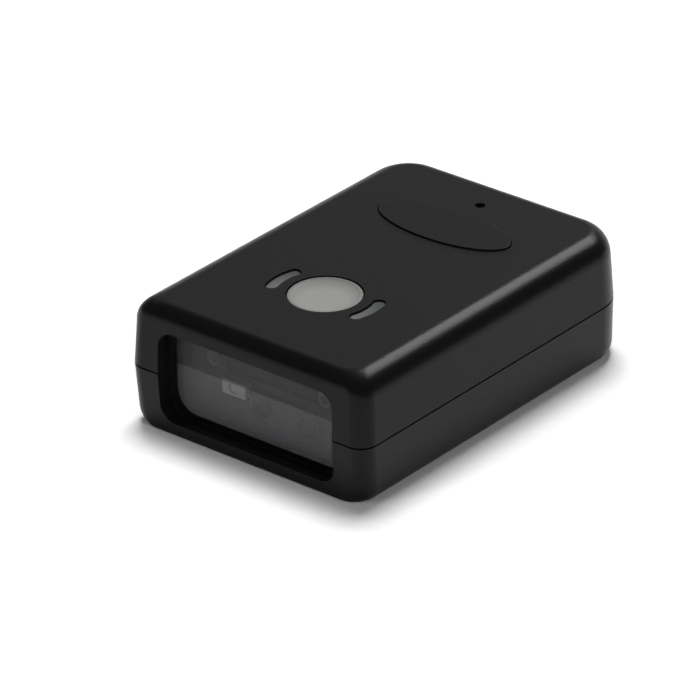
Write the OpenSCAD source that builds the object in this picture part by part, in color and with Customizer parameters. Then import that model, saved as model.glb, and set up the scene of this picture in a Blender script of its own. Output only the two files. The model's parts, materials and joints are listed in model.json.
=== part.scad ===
// Fixed-mount barcode scanner: a two-piece housing with a recessed scan window,
// a push key between two status lights, an imaging engine and a rear cable jack.
// Front window faces -Y, +Z is up, the origin is at the middle of the base.

/* [Housing] */
// Width across the parting line
body_w = 50; // [48:0.5:60]
// Length from the front face to the back face
body_l = 71.2; // [70:0.2:90]
// Height from the base to the top
body_h = 22.9; // [22.7:0.1:27]
// Height of the parting line between the covers
parting_z = 10.9; // [10.4:0.1:11.8]
// Thickness of the side and back walls
wall = 2; // [1.8:0.1:2.3]
// Thickness of the front wall round the window
front_wall = 2.9; // [2.4:0.1:3.2]
// Thickness of the floor
floor_t = 1.6; // [1.3:0.1:1.8]
// Thickness of the roof
roof_t = 1.8; // [1.6:0.1:2]
// Radius of the two upright front corners
corner_front = 3.1; // [2.7:0.1:4]
// Radius of the two upright back corners
corner_back = 8.4; // [7.6:0.1:9.2]
// Draft of the side walls below the parting line, degrees
side_draft_low = 1.9; // [1:0.1:3]
// Draft of the side walls above the parting line, degrees
side_draft_up = 3; // [2:0.1:4]
// Draft of the front face below the parting line, degrees
front_draft_low = 3.7; // [2:0.1:5]
// Draft of the front face above the parting line, degrees
front_draft_up = 3; // [2:0.1:4]
// Draft of the back face below the parting line, degrees
back_draft_low = 0.7; // [0.2:0.1:2]
// Draft of the back face above the parting line, degrees
back_draft_up = 6.5; // [3:0.1:7]
// Rounding of the bottom edge along the sides
bottom_edge_side = 2.8; // [2:0.1:3.2]
// Rounding of the bottom edge along the front
bottom_edge_front = 0.4; // [0.2:0.1:1]
// Rounding of the bottom edge along the back
bottom_edge_back = 2.5; // [2:0.1:3]
// Rounding of the top edge along the sides
top_edge_side = 3.9; // [3:0.1:4.4]
// Rounding of the top edge along the front
top_edge_front = 2.5; // [2:0.1:3]
// Rounding of the top edge along the back
top_edge_back = 2.6; // [2.2:0.1:3.4]
// Height of the parting-line groove in each cover
groove = 0.15; // [0.1:0.05:0.25]
// Depth of the parting-line groove
groove_depth = 0.3; // [0.2:0.05:0.4]
// Height of the tongue that locates the covers
lip_h = 1.2; // [0.8:0.1:1.4]
// Thickness of the tongue
lip_t = 0.9; // [0.7:0.1:1]
// Clearance round the tongue
lip_gap = 0.1; // [0.05:0.05:0.2]

/* [Scan window] */
// Width of the front face beside the window opening
window_side = 6.65; // [6.4:0.05:8]
// Height of the lower edge of the opening
window_sill = 2.4; // [2.3:0.1:3.2]
// Distance from the upper edge of the opening to the top
window_lintel = 4.1; // [3.9:0.1:5]
// Corner radius of the opening
window_r = 3; // [2:0.1:4]
// Thickness of the foam gasket
gasket_t = 1.5; // [1:0.1:1.7]
// How far the gasket shows inside the opening
gasket_show = 0.4; // [0.2:0.05:0.6]
// Corner radius of the gasket's inner edge
gasket_r = 4; // [3:0.1:4.5]
// How far the clear window reaches past the opening
window_lap = 0.6; // [0.5:0.05:0.65]
// Thickness of the clear window
window_t = 1.5; // [1:0.1:1.7]

/* [Push key and status lights] */
// Distance from the front face to the middle of the key
key_setback = 20.9; // [20.3:0.1:23]
// Diameter of the key
key_d = 12.5; // [11:0.1:13]
// Clearance between the key and its hole
key_gap = 0.2; // [0.15:0.05:0.3]
// How far the key's rim lies below the top surface
key_sink = 0.1; // [0:0.05:0.4]
// Depth of the dish in the key
key_dish = 0.4; // [0.2:0.05:0.5]
// Width of the key's rim
key_rim = 0.55; // [0.4:0.05:0.8]
// Thickness of the flange that keeps the key in
key_flange_t = 0.7; // [0.5:0.05:0.8]
// How far the flange reaches past the key
key_flange_lap = 1.2; // [0.8:0.1:1.3]
// Travel of the key
key_travel = 0.4; // [0.2:0.05:0.5]
// Diameter of the stem under the key
key_stem_d = 4.4; // [3.6:0.1:5]
// Length of the stem from the flange to the switch
key_stem_l = 0.5; // [0.45:0.05:0.7]
// Inner radius of the two status slots
slot_r_in = 8.2; // [8.1:0.05:8.6]
// Outer radius of the two status slots
slot_r_out = 10.5; // [10:0.1:11]
// Angle that each slot spans, degrees
slot_angle = 50; // [36:1:60]
// Clearance of a light guide in its slot
guide_gap = 0.1; // [0.05:0.05:0.15]
// How far the guides lie below the top surface
guide_sink = 0.3; // [0.2:0.05:0.8]
// Thickness of a guide's flange
guide_flange_t = 0.8; // [0.6:0.1:1]

/* [Badge and beeper] */
// Distance from the back face to the middle of the badge
badge_setback = 19.25; // [19:0.05:22]
// Length of the oval badge
badge_l = 26.8; // [22:0.1:30]
// Width of the oval badge
badge_w = 11.1; // [9:0.1:12]
// Thickness of the badge
badge_t = 0.7; // [0.5:0.05:0.9]
// How far the badge stands above the top surface
badge_rise = 0.25; // [0.15:0.05:0.35]
// Gap round the badge
badge_gap = 0.18; // [0.1:0.02:0.25]
// Distance from the back face to the beeper hole
beeper_setback = 9.6; // [9.3:0.1:10.2]
// Diameter of the beeper hole
beeper_d = 1.8; // [1.2:0.1:2.2]
// Diameter of the buzzer
buzzer_d = 9; // [7:0.1:9.4]
// Height of the buzzer
buzzer_h = 3.2; // [2.4:0.1:3.6]

/* [Circuit board] */
// Thickness of the main board
board_t = 1.6; // [1.4:0.1:1.7]
// Gap from the board's edge to the side and back walls
board_gap = 1.2; // [0.8:0.1:1.6]
// Width of the key switch
switch_w = 6; // [5:0.1:6.4]
// Height of the key switch's body
switch_h = 2.6; // [2.4:0.1:2.8]
// Diameter of the switch plunger
plunger_d = 3.5; // [3:0.1:3.8]
// Height of the plunger above the switch body
plunger_h = 0.6; // [0.55:0.05:0.8]
// Width of a status lamp
lamp_w = 3; // [2:0.1:3.4]
// Height of a status lamp
lamp_h = 1.1; // [0.8:0.1:1.4]
// Width of the decoder chip
decoder_w = 13; // [9:0.1:14]
// Width of the memory chip
memory_w = 8; // [6:0.1:9]
// Height of the chips
chip_h = 1.2; // [0.8:0.1:1.6]

/* [Imaging engine] */
// Width of the engine
engine_w = 21.5; // [20:0.1:22]
// Height of the engine's body
engine_h = 9; // [8.7:0.1:9.4]
// Depth of the engine's body
engine_l = 10; // [9:0.1:10.6]
// Sideways place of the camera lens
lens_x = -2; // [-2.2:0.1:0.5]
// Height of the lens axis above the engine's base
lens_rise = 4; // [3.8:0.1:4.2]
// Diameter of the lens barrel
barrel_d = 4.6; // [4.2:0.1:4.8]
// Thickness of the lamp board and of the imager board
engine_board_t = 0.9; // [0.7:0.05:1]
// Thickness of the engine bracket
bracket_t = 1; // [0.8:0.1:1.2]
// Gap between the clear window and the bracket
bracket_gap = 1.1; // [0.9:0.1:1.3]
// Height of the bracket's top edge
bracket_top = 9.6; // [9.4:0.1:9.9]
// Width of the illumination lamp
flood_w = 5; // [4:0.1:5.4]
// Height of the illumination lamp
flood_h = 2.6; // [2.2:0.1:2.8]
// Diameter of the aiming lamp
aimer_d = 3; // [2.4:0.1:3.4]
// Sideways place of both lamps
lamp_x = 7.6; // [7.4:0.1:7.8]
// Width of the flat cable
flex_w = 8; // [6:0.1:9]
// Thickness of the flat cable
flex_t = 0.2; // [0.12:0.02:0.3]

/* [Cable jack] */
// Width of the jack
jack_w = 15.4; // [14.6:0.1:16]
// Gap between the floor and the underside of the jack
jack_floor_gap = 1.45; // [1.2:0.05:2]
// Length of the jack
jack_l = 16; // [15:0.1:17]
// Width of the jack's mouth
mouth_w = 11.8; // [11.6:0.1:12.2]
// Thickness of the jack under its mouth
mouth_floor = 2.3; // [2:0.1:2.4]
// Thickness of the jack over its mouth
mouth_roof = 1.7; // [1.5:0.1:1.9]
// Depth of the jack's mouth
mouth_l = 12; // [11:0.1:12.6]
// How far the jack's face lies inside the back face
jack_sink = 0.9; // [0.8:0.1:1.2]
// Number of contacts in the jack
contact_count = 8; // [6:2:10]
// Distance between the contacts
contact_pitch = 1.02; // [0.9:0.01:1.1]

/* [Fasteners and mounting] */
// Distance from the sides to the housing screws
post_side = 6.2; // [5.8:0.1:6.6]
// Distance from the front face to the front screws
post_front = 11.6; // [11.2:0.1:12]
// Distance from the back face to the back screws
post_back = 6.6; // [6.4:0.1:7.2]
// Diameter of the screw posts
post_d = 6; // [5.6:0.1:6.4]
// Diameter of the housing screws
screw_d = 2.2; // [2:0.1:2.3]
// Diameter of a housing screw's head
screw_head_d = 4; // [3.6:0.1:4.2]
// Height of the face that a screw head bears on
screw_seat = 6; // [5:0.1:7]
// Clearance round the screws
screw_gap = 0.15; // [0.1:0.05:0.2]
// Distance between the mounting inserts across the width
mount_dx = 31; // [30:0.5:33]
// Distance between the mounting inserts along the length
mount_dy = 26; // [22:0.5:28]
// Distance from the front face to the front inserts
mount_setback = 26; // [24:0.1:28]
// Bore of the mounting inserts
insert_bore = 2.5; // [2.4:0.1:3]
// Outside diameter of the mounting inserts
insert_d = 4.2; // [4:0.1:4.6]
// Length of the mounting inserts
insert_l = 5; // [4:0.1:5.6]

/* [Hidden] */
$fn = 48;
eps = 0.01;
seat = 0.02;
corner_steps = 7;
edge_steps = 7;
bar_steps = 8;
end_steps = 8;
corner_min = 0.4;
inner_edge_min = 0.5;
root = 0.3;

front_y = -body_l / 2;
back_y = body_l / 2;
roof_z = body_h - roof_t;
post_x = body_w / 2 - post_side;
window_hw = body_w / 2 - window_side;
window_top = body_h - window_lintel;
window_mid = (window_sill + window_top) / 2;
window_h = window_top - window_sill;
gasket_y = front_y + front_wall;
glass_y = gasket_y + gasket_t;
glass_back = glass_y + window_t;
glass_hw = window_hw + window_lap;
glass_h = window_h + 2 * window_lap;
glass_r = window_r + 0.3;
glass_rib_t = 0.8;
glass_rib_hw = window_hw - 3.35;

key_y = front_y + key_setback;
key_r = key_d / 2;
key_flange_r = key_r + key_flange_lap;
key_play = 0.05;
key_flange_z = roof_z - key_play - key_flange_t;
key_lug_w = 2;
key_lug_l = 1.2;
key_rib_t = 1;
dish_steps = 6;
key_rib_h = 1.2;
plunger_top = key_flange_z - key_stem_l;
plunger_bore = 0.1;
plunger_in = 0.6;

board_top = plunger_top - plunger_h - switch_h;
board_z = board_top - board_t;
board_side = wall + board_gap;
board_front = post_front - post_d / 2;
board_hole_gap = 0.1;

guide_r_in = slot_r_in + guide_gap;
guide_r_out = slot_r_out - guide_gap;
guide_r_mid = (slot_r_in + slot_r_out) / 2;
slot_half = slot_angle / 2;
guide_half = slot_half - asin(guide_gap / slot_r_in);
guide_flange_in = key_flange_r + 0.35;
guide_flange_out = slot_r_out + 0.7;
guide_flange_lap = 0.85;
guide_flange_half = slot_half + asin(guide_flange_lap / slot_r_in);
guide_air = 0.3;
guide_z = board_top + lamp_h + guide_air;
lamp_cup = 0.3;

badge_y = back_y - badge_setback;
badge_pocket = badge_t - badge_rise;
badge_steps = 60;
beeper_y = back_y - beeper_setback;
mesh_t = 0.2;
mesh_d = 5;
horn_t = 0.8;
horn_gap = 0.3;

bracket_y = glass_back + bracket_gap;
bracket_back = bracket_y + bracket_t;
bracket_hw = glass_hw + 1;
bracket_low = floor_t + 0.4;
lamp_board_back = bracket_back + engine_board_t;
engine_z = floor_t + 1;
engine_top = engine_z + engine_h;
lens_z = engine_z + lens_rise;
imager_y = lamp_board_back + engine_l;
imager_back = imager_y + engine_board_t;
ear_gap = 2.1;
ear_w = 4;
ear_x = post_x - post_d / 2 - ear_gap - ear_w / 2;
ear_top = engine_top + 3.9;
ear_screw_z = ear_top - ear_w / 2;
lug_l = 3.8;
lug_end = 0.6;
lug_low = engine_top - 0.7;
flood_z = bracket_top - 0.6;
flood_l = 1.6;
aimer_l = 1.7;
barrel_step = 0.5;
barrel_r = barrel_d / 2;
barrel_bore = barrel_r - 0.7;
barrel_tip = bracket_y - 0.4;
lens_bore = barrel_bore - 0.4;
lens_y = barrel_tip + 2.2;
lens_edge = 0.5;
shaft_l = 4;
engine_screw_d = 1.4;
engine_head_d = 2.8;
engine_head_h = 0.75;

tab_air = 0.25;
tab_in = engine_w / 2 + tab_air;
tab_out = post_x - post_d / 2 - tab_air;
tab_boss_h = 3;
tab_boss_d = 4.4;
tab_pad_w = 4.8;
tab_x = tab_in + tab_pad_w / 2;
tab_z = floor_t + tab_boss_h;
tab_screw_y = front_y + post_front + post_d / 2 + tab_air + tab_pad_w / 2;
tab_screw_d = 1.6;
tab_head_d = 3.2;
tab_head_h = 1.1;
tab_screw_l = 2.4;

flex_bend = 2.4;
plug_w = flex_w + 3;
plug_l = 1.4;
plug_h = 2.4;
flex_turn_y = imager_back + plug_l + 1.4;
flex_up_y = flex_turn_y + flex_bend;
socket_l = 3.4;
socket_h = 1.4;

jack_face = back_y - jack_sink;
jack_back = jack_face - jack_l;
jack_z = floor_t + jack_floor_gap;
mouth_top = board_z - mouth_roof;
mouth_z = jack_z + mouth_floor;
key_slot_w = 6.2;
key_slot_h = 1.1;
jack_gap = 0.15;
wire_t = 0.45;
wire_drop = 1.9;
wire_rise = 0.5;
wire_run = 2;
jack_box_l = 3;
jack_rear = 1;
jack_roof = 0.6;
wire_rear = jack_face - mouth_l - jack_rear;
wire_gap = 0.1;

chip_air = 0.1;
chip_y = jack_back - decoder_w / 2 - 2;
decoder_x = -5;
decoder_legs = 8;
memory_x = 9;
memory_legs = 6;
memory_ratio = 1.4;
crystal_inset = 5.2;
crystal_x = crystal_inset + board_side - body_w / 2;
crystal_y = 6.5;
crystal_w = 2.8;
crystal_l = 5;
crystal_h = 1.1;
capacitor_count = 6;
capacitor_pitch = 2.4;
capacitor_y = -3.4;
capacitor_w = 1.4;
capacitor_l = 2.4;
capacitor_h = 0.9;

mount_y = front_y + mount_setback;
insert_wall = 1.2;
insert_cap = 1.2;
screw_head_h = 1.4;
screw_tip = roof_z - 2;
cross_w = 0.6;
cross_depth = 0.7;
ink_black = "#26272a";
deep_black = "#17181a";
board_green = "#1d4a33";
gold = "#c9a24a";
steel = "#b9bcc0";

// Inset of a rounded edge of radius r at a distance d from the face that it meets
function bow(d, r) = d >= r ? 0 : r - sqrt(r * r - (r - d) * (r - d));

// Inset of a drafted wall at height z, where lift moves the rounding off the outer faces
function drafted(z, low, up, r_low, r_up, lift_low, lift_up) = z < parting_z
    ? (parting_z - z) * tan(low) + bow(z - lift_low, r_low)
    : (z - parting_z) * tan(up) + bow(body_h - lift_up - z, r_up);

function arc(cx, cy, r, from) = [for (i = [0:corner_steps])
    let (a = from + 90 * i / corner_steps) [cx + r * cos(a), cy + r * sin(a)]];

// Plan of the housing at an inset from its sides, its front and its back
function plan(s, f, b, rf) = let (
        x = body_w / 2 - s,
        y0 = front_y + f,
        y1 = back_y - b,
        rb = max(corner_back - max(s, b), corner_min))
    concat(arc(x - rf, y0 + rf, rf, -90), arc(x - rb, y1 - rb, rb, 0),
        arc(rb - x, y1 - rb, rb, 90), arc(rf - x, y0 + rf, rf, 180));

function lift(points, z) = [for (p = points) [p[0], p[1], z]];

// One ring of the outer form, and one of the space inside it
function outer_ring(z, extra) = lift(plan(
    drafted(z, side_draft_low, side_draft_up, bottom_edge_side, top_edge_side, 0, 0) + extra,
    drafted(z, front_draft_low, front_draft_up, bottom_edge_front, top_edge_front, 0, 0) + extra,
    drafted(z, back_draft_low, back_draft_up, bottom_edge_back, top_edge_back, 0, 0) + extra,
    corner_front), z);

function inside(r) = max(r - wall, inner_edge_min);

function inner_ring(z) = lift(plan(
    wall + drafted(z, side_draft_low, side_draft_up, inside(bottom_edge_side), inside(top_edge_side),
        floor_t, roof_t),
    front_wall,
    wall + drafted(z, back_draft_low, back_draft_up, inside(bottom_edge_back), inside(top_edge_back),
        floor_t, roof_t),
    inside(corner_front)), z);

// Heights that climb a rounded edge of radius r in even angles
function climb(r) = [for (i = [0:edge_steps]) r * (1 - cos(90 * i / edge_steps))];

module loft(rings) {
    n = len(rings[0]);
    last = len(rings) - 1;
    polyhedron(points = [for (ring = rings) each ring], faces = concat(
        [[for (i = [0:n - 1]) i]],
        [[for (i = [n - 1:-1:0]) last * n + i]],
        [for (k = [0:last - 1]) for (i = [0:n - 1])
            [k * n + i, (k + 1) * n + i, (k + 1) * n + (i + 1) % n, k * n + (i + 1) % n]]));
}

module rounded_rect(w, h, r) {
    square([w - 2 * r, h], center = true);
    square([w, h - 2 * r], center = true);
    for (x = [-1, 1])
        for (y = [-1, 1])
            translate([x * (w / 2 - r), y * (h / 2 - r)])
                circle(r);
}

// A flat outline stood upright, its face at y and its thickness towards +Y
module upright(y, t) {
    translate([0, y + t, 0])
        rotate([90, 0, 0])
            linear_extrude(t)
                children();
}

module block(x, y, z) {
    translate([x[0], y[0], z[0]])
        cube([x[1] - x[0], y[1] - y[0], z[1] - z[0]]);
}

module rod(x, y, z0, z1, d) {
    translate([x, y, z0])
        cylinder(h = z1 - z0, d = d);
}

// A rod along Y
module bar(x, z, y0, y1, d) {
    translate([x, y0, z])
        rotate([-90, 0, 0])
            cylinder(h = y1 - y0, d = d);
}

module at_posts() {
    for (x = [-post_x, post_x])
        for (y = [front_y + post_front, back_y - post_back])
            translate([x, y, 0])
                children();
}

module at_inserts() {
    for (x = [-mount_dx / 2, mount_dx / 2])
        for (y = [mount_y, mount_y + mount_dy])
            translate([x, y, 0])
                children();
}

module tongue_plan(inset) {
    polygon(plan(inset, front_wall - wall + inset, inset, max(corner_front - inset, corner_min)));
}

module window_cut() {
    upright(front_y - 1, front_wall + 2)
        translate([0, window_mid])
            rounded_rect(2 * window_hw, window_h, window_r);
}

module jack_cut() {
    block([-jack_w / 2 - jack_gap, jack_w / 2 + jack_gap], [back_y - wall - 2, back_y + 1],
        [jack_z - jack_gap, board_z + jack_gap]);
}

module sector(r0, r1, z0, z1, half) {
    translate([0, key_y, z0])
        rotate([0, 0, -half])
            rotate_extrude(angle = 2 * half)
                translate([r0, 0])
                    square([r1 - r0, z1 - z0]);
}

// Outline of a bar curved round the key, with round ends
function bar_outline(r0, r1, half) = let (
        r = (r1 - r0) / 2,
        mid = (r0 + r1) / 2,
        turn = half - asin(r / mid))
    concat(
        [for (i = [0:bar_steps]) let (a = 2 * turn * i / bar_steps - turn) [r1 * cos(a), r1 * sin(a)]],
        [for (i = [1:end_steps - 1]) let (a = turn + 180 * i / end_steps)
            [mid * cos(turn) + r * cos(a), mid * sin(turn) + r * sin(a)]],
        [for (i = [0:bar_steps]) let (a = turn - 2 * turn * i / bar_steps) [r0 * cos(a), r0 * sin(a)]],
        [for (i = [1:end_steps - 1]) let (a = 180 - turn + 180 * i / end_steps)
            [mid * cos(turn) + r * cos(a), r * sin(a) - mid * sin(turn)]]);

module curved_bar(r0, r1, z0, z1, half) {
    translate([0, key_y, z0])
        linear_extrude(z1 - z0)
            polygon(bar_outline(r0, r1, half));
}

module oval(l, w) {
    polygon([for (i = [0:badge_steps - 1])
        let (a = 360 * i / badge_steps) [l / 2 * cos(a), w / 2 * sin(a)]]);
}

module top_cover() {
    top_levels = [for (d = climb(top_edge_side)) body_h - d];
    ceiling = [for (d = climb(inside(top_edge_side))) roof_z - d];
    color(ink_black)
        difference() {
            union() {
                difference() {
                    loft(concat([outer_ring(parting_z, groove_depth)],
                        [outer_ring(parting_z + groove, groove_depth), outer_ring(parting_z + groove, 0)],
                        [for (i = [edge_steps:-1:0]) outer_ring(top_levels[i], 0)]));
                    loft(concat([inner_ring(parting_z - eps)],
                        [for (i = [edge_steps:-1:0]) inner_ring(ceiling[i])]));
                    translate([0, 0, parting_z - eps])
                        linear_extrude(lip_h + lip_gap + eps)
                            tongue_plan(wall - lip_t - lip_gap);
                }
                at_posts()
                    rod(0, 0, board_top, roof_z + root, post_d);
                key_guides();
                horn();
                block([-glass_rib_hw, glass_rib_hw], [glass_back, glass_back + glass_rib_t],
                    [window_top + root, roof_z + root]);
            }
            window_cut();
            jack_cut();
            rod(0, key_y, roof_z - 1, body_h + 1, key_d + 2 * key_gap);
            curved_bar(slot_r_in, slot_r_out, roof_z - 1, body_h + 1, slot_half);
            mirror([1, 0, 0])
                curved_bar(slot_r_in, slot_r_out, roof_z - 1, body_h + 1, slot_half);
            translate([0, badge_y, body_h - badge_pocket])
                linear_extrude(badge_pocket + 1)
                    oval(badge_l + 2 * badge_gap, badge_w + 2 * badge_gap);
            rod(0, beeper_y, roof_z - 1, body_h + 1, beeper_d);
            at_posts()
                rod(0, 0, board_top - 1, screw_tip + screw_gap, screw_d + seat);
        }
}

// Two ribs under the roof that stop the key from turning
module key_guides() {
    y0 = key_y + key_flange_r + key_gap;
    for (side = [-1, 1])
        translate([side * (key_lug_w / 2 + key_gap + key_rib_t / 2), 0, 0])
            block([-key_rib_t / 2, key_rib_t / 2], [y0, y0 + key_lug_l], [roof_z - key_rib_h, roof_z + root]);
}

// A collar under the roof that leads the buzzer's sound to its hole
module horn() {
    inner = buzzer_d / 2 + horn_gap;
    translate([0, beeper_y, board_top + buzzer_h - horn_t])
        difference() {
            cylinder(h = roof_z + root - board_top - buzzer_h + horn_t, r = inner + horn_t);
            translate([0, 0, -1])
                cylinder(h = roof_z - board_top - buzzer_h + horn_t + 1, r = inner);
        }
}

module bottom_cover() {
    floor_levels = climb(bottom_edge_side);
    inner_levels = [for (d = climb(inside(bottom_edge_side))) floor_t + d];
    color(ink_black)
        difference() {
            union() {
                difference() {
                    loft(concat([for (z = floor_levels) outer_ring(z, 0)],
                        [outer_ring(parting_z - groove, 0), outer_ring(parting_z - groove, groove_depth)],
                        [outer_ring(parting_z, groove_depth)]));
                    loft(concat([for (z = inner_levels) inner_ring(z)],
                        [lift(plan(wall, front_wall, wall, inside(corner_front)), parting_z + eps)]));
                }
                translate([0, 0, parting_z - 2 * groove])
                    linear_extrude(lip_h + 2 * groove)
                        difference() {
                            tongue_plan(wall - lip_t);
                            tongue_plan(wall);
                        }
                at_posts()
                    rod(0, 0, floor_t - root, board_z, post_d);
                post_webs();
                at_inserts()
                    rod(0, 0, floor_t - root, insert_l + insert_cap, insert_d + 2 * insert_wall);
                for (x = [-tab_x, tab_x])
                    rod(x, tab_screw_y, floor_t - root, tab_z, tab_boss_d);
                block([-glass_rib_hw, glass_rib_hw], [glass_y, glass_back],
                    [floor_t - root, window_sill - window_lap]);
                block([-glass_rib_hw, glass_rib_hw], [glass_back, glass_back + glass_rib_t],
                    [floor_t - root, window_sill - root]);
            }
            window_cut();
            jack_cut();
            at_posts() {
                rod(0, 0, -1, screw_seat, screw_head_d + 4 * screw_gap);
                rod(0, 0, 0, board_z + 1, screw_d + 2 * screw_gap);
            }
            at_inserts()
                rod(0, 0, -1, insert_l, insert_d + seat);
            for (x = [-tab_x, tab_x])
                rod(x, tab_screw_y, tab_z - tab_screw_l, tab_z + 1, tab_screw_d + seat);
        }
}

// Webs that tie the front posts to the side walls
module post_webs() {
    web_t = 1.2;
    y = front_y + post_front;
    for (side = [0, 1])
        mirror([side, 0, 0])
            block([post_x, body_w / 2 - wall], [y - web_t / 2, y + web_t / 2],
                [floor_t + inside(bottom_edge_side), parting_z - root]);
}

module scan_window() {
    color([0.35, 0.36, 0.38, 0.45])
        upright(glass_y, window_t)
            translate([0, window_mid])
                rounded_rect(2 * glass_hw, glass_h, glass_r);
}

module window_gasket() {
    color(deep_black)
        upright(gasket_y, gasket_t)
            translate([0, window_mid])
                difference() {
                    rounded_rect(2 * glass_hw, glass_h, glass_r);
                    rounded_rect(2 * (window_hw - gasket_show), window_h - 2 * gasket_show, gasket_r);
                }
}

module push_key() {
    top = body_h - key_sink;
    edge = 0.2;
    bowl_r = key_r - key_rim;
    bowl = [for (i = [1:dish_steps])
        let (a = 90 * i / dish_steps) [bowl_r * cos(a), top - key_dish * sin(a)]];
    color("#b4b4ae")
        union() {
            translate([0, key_y, 0])
                rotate_extrude()
                    polygon(concat([[0, plunger_top], [key_stem_d / 2, plunger_top],
                        [key_stem_d / 2, key_flange_z], [key_flange_r, key_flange_z],
                        [key_flange_r, key_flange_z + key_flange_t], [key_r, key_flange_z + key_flange_t],
                        [key_r, top - edge], [key_r - edge, top], [bowl_r, top]], bowl));
            block([-key_lug_w / 2, key_lug_w / 2], [key_y, key_y + key_flange_r + key_lug_l],
                [key_flange_z, key_flange_z + key_flange_t]);
        }
}

module light_guide() {
    color("#8f9194")
        union() {
            curved_bar(guide_r_in, guide_r_out, guide_z, body_h - guide_sink, guide_half);
            sector(guide_flange_in, guide_flange_out, roof_z - guide_flange_t, roof_z, guide_flange_half);
        }
}

module light_guide_right() {
    light_guide();
}

module light_guide_left() {
    mirror([1, 0, 0])
        light_guide();
}

module oval_badge() {
    color(deep_black)
        translate([0, badge_y, body_h - badge_pocket])
            linear_extrude(badge_t)
                oval(badge_l, badge_w);
}

// A screw whose head bears on z, its shank up to tip
module screw_up(z, tip, d, head_d, head_h) {
    difference() {
        union() {
            rod(0, 0, z - head_h, z, head_d);
            rod(0, 0, z - eps, tip, d);
        }
        for (turn = [0, 90])
            rotate([0, 0, turn])
                block([-head_d / 3, head_d / 3], [-cross_w / 2, cross_w / 2],
                    [z - head_h - 1, z - head_h + cross_depth]);
    }
}

module housing_screws() {
    color(steel)
        at_posts()
            screw_up(screw_seat, screw_tip, screw_d, screw_head_d, screw_head_h);
}

module mounting_inserts() {
    flute = 0.25;
    flute_l = 0.8;
    color(gold)
        at_inserts()
            difference() {
                rod(0, 0, 0, insert_l, insert_d);
                rod(0, 0, -1, insert_l + 1, insert_bore);
                translate([0, 0, (insert_l - flute_l) / 2])
                    difference() {
                        cylinder(h = flute_l, d = insert_d + 1);
                        cylinder(h = flute_l, d = insert_d - 2 * flute);
                    }
            }
}

module main_board() {
    notch = ear_x + ear_w / 2 + 0.8;
    color(board_green)
        difference() {
            translate([0, 0, board_z])
                linear_extrude(board_t)
                    polygon(plan(board_side, board_front, board_side, 1));
            block([-notch, notch], [front_y, bracket_back + lug_l + 0.4], [board_z - 1, board_top + 1]);
            at_posts()
                rod(0, 0, board_z - 1, board_top + 1, screw_d + 2 * board_hole_gap);
        }
}

module key_switch() {
    frame_t = 0.3;
    color(steel)
        translate([0, key_y, board_top])
            difference() {
                union() {
                    translate([-switch_w / 2, -switch_w / 2, 0])
                        cube([switch_w, switch_w, switch_h - frame_t]);
                    translate([-switch_w / 2 + frame_t, -switch_w / 2 + frame_t, 0])
                        cube([switch_w - 2 * frame_t, switch_w - 2 * frame_t, switch_h]);
                }
                translate([0, 0, switch_h - plunger_in - key_travel - plunger_bore])
                    cylinder(h = switch_h, d = plunger_d + 2 * plunger_bore);
            }
}

module switch_plunger() {
    color(deep_black)
        rod(0, key_y, board_top + switch_h - plunger_in, plunger_top, plunger_d);
}

module status_lamp(x) {
    color("#e4e4dc")
        translate([x, key_y, board_top])
            difference() {
                translate([-lamp_w / 2, -lamp_w / 2, 0])
                    cube([lamp_w, lamp_w, lamp_h]);
                translate([0, 0, lamp_h - lamp_cup])
                    cylinder(h = lamp_cup + eps, d1 = lamp_w * 0.6, d2 = lamp_w * 0.8);
            }
}

module status_lamp_left() {
    status_lamp(-guide_r_mid);
}

module status_lamp_right() {
    status_lamp(guide_r_mid);
}

module buzzer() {
    vent_d = 2;
    lid = 0.5;
    color(deep_black)
        difference() {
            union() {
                rod(0, beeper_y, board_top, board_top + buzzer_h - lid, buzzer_d);
                rod(0, beeper_y, board_top, board_top + buzzer_h, buzzer_d - 2 * lid);
            }
            rod(0, beeper_y, board_top + buzzer_h / 2, board_top + buzzer_h + 1, vent_d);
        }
}

module beeper_mesh() {
    color("#505358")
        rod(0, beeper_y, roof_z - mesh_t, roof_z, mesh_d);
}

// A chip under the main board with a row of legs along two sides
module chip(x, y, w, l, legs) {
    leg_l = 0.8;
    leg_w = 0.35;
    leg_t = 0.4;
    pitch = l / (legs + 1);
    block([x - w / 2, x + w / 2], [y - l / 2, y + l / 2], [board_z - chip_h, board_z - chip_air]);
    for (side = [-1, 1])
        for (i = [1:legs])
            translate([x + side * (w / 2 + leg_l / 2 - eps), y - l / 2 + i * pitch, board_z - leg_t / 2])
                cube([leg_l, leg_w, leg_t], center = true);
}

module decoder_chip() {
    color(deep_black)
        chip(decoder_x, chip_y, decoder_w, decoder_w, decoder_legs);
}

module memory_chip() {
    color(deep_black)
        chip(memory_x, chip_y, memory_w, memory_w * memory_ratio, memory_legs);
}

module clock_crystal() {
    color(steel)
        block([crystal_x - crystal_w / 2, crystal_x + crystal_w / 2],
            [crystal_y - crystal_l / 2, crystal_y + crystal_l / 2], [board_z - crystal_h, board_z]);
}

module board_capacitors() {
    color("#b08a5a")
        for (i = [0:capacitor_count - 1])
            translate([(i - (capacitor_count - 1) / 2) * capacitor_pitch, capacitor_y, board_z])
                translate([-capacitor_w / 2, -capacitor_l / 2, -capacitor_h])
                    cube([capacitor_w, capacitor_l, capacitor_h]);
}

module board_socket() {
    color("#d8d3c4")
        difference() {
            block([-plug_w / 2, plug_w / 2], [flex_up_y - socket_l / 2, flex_up_y + socket_l / 2],
                [board_z - socket_h, board_z]);
            block([-flex_w / 2 - seat, flex_w / 2 + seat],
                [flex_up_y - flex_t / 2 - seat, flex_up_y + flex_t / 2 + seat],
                [board_z - socket_h - 1, board_z - root]);
        }
}

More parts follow.
